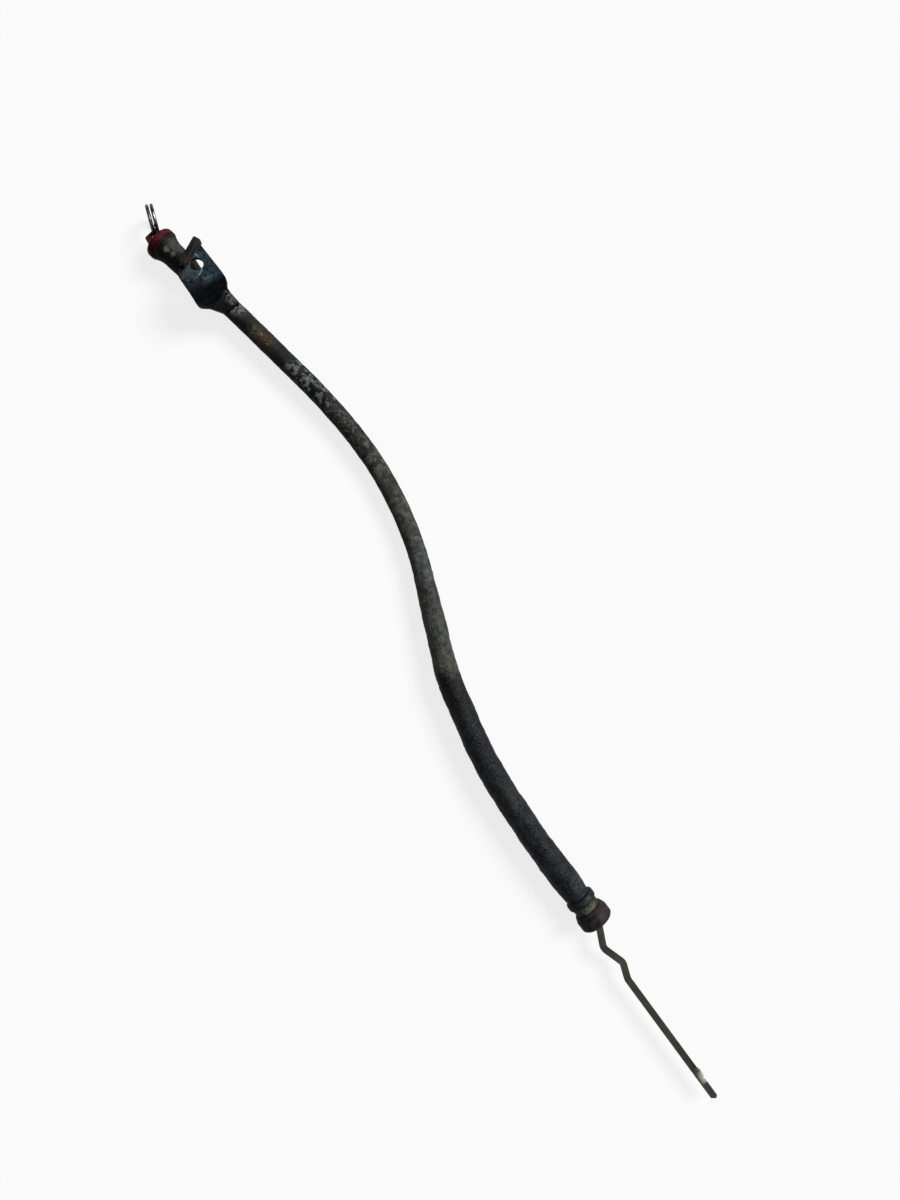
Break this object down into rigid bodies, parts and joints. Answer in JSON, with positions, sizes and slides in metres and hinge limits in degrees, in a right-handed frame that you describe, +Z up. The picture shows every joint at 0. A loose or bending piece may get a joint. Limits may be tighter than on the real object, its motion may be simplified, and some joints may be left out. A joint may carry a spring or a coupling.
{
  "type": "oil dipstick",
  "caption": "Oil dipstick in its bent guide tube: red stopper with a wire ring, painted mounting bracket, rubber sleeve, sealed lower end and a cranked steel blade, rusty and scuffed.",
  "frame": {"origin": "middle of the underside of the part's box, on the floor that it lies on", "axes": "+Z up from the floor, +X and +Y level: seen from above, +X is to the right of the picture and +Y to its top. The mouth with the stopper is at -X +Y and the blade's tip at +X -Y"},
  "size_m": [0.2854, 0.4454, 0.0261],
  "materials": {
    "tube_paint": "matt, flaking, with rust",
    "bracket_paint": "satin, worn",
    "sleeve_rubber": "matt, crackled",
    "ferrule_metal": "tarnished",
    "seal_rubber": "satin",
    "stopper_plastic": "satin, dirty",
    "o_ring_rubber": "satin",
    "blade_steel": "satin, oily",
    "wire_steel": "bright, worn"
  },
  "bodies": {
    "root": {"guide_tube": "tube_paint", "mounting_bracket": "bracket_paint", "protective_sleeve": "sleeve_rubber", "end_ferrule": "ferrule_metal", "seal_ring": "seal_rubber", "stopper": "stopper_plastic", "stopper_o_ring": "o_ring_rubber", "dipstick_blade": "blade_steel", "ring_handle": "wire_steel"}
  },
  "joints": []
}
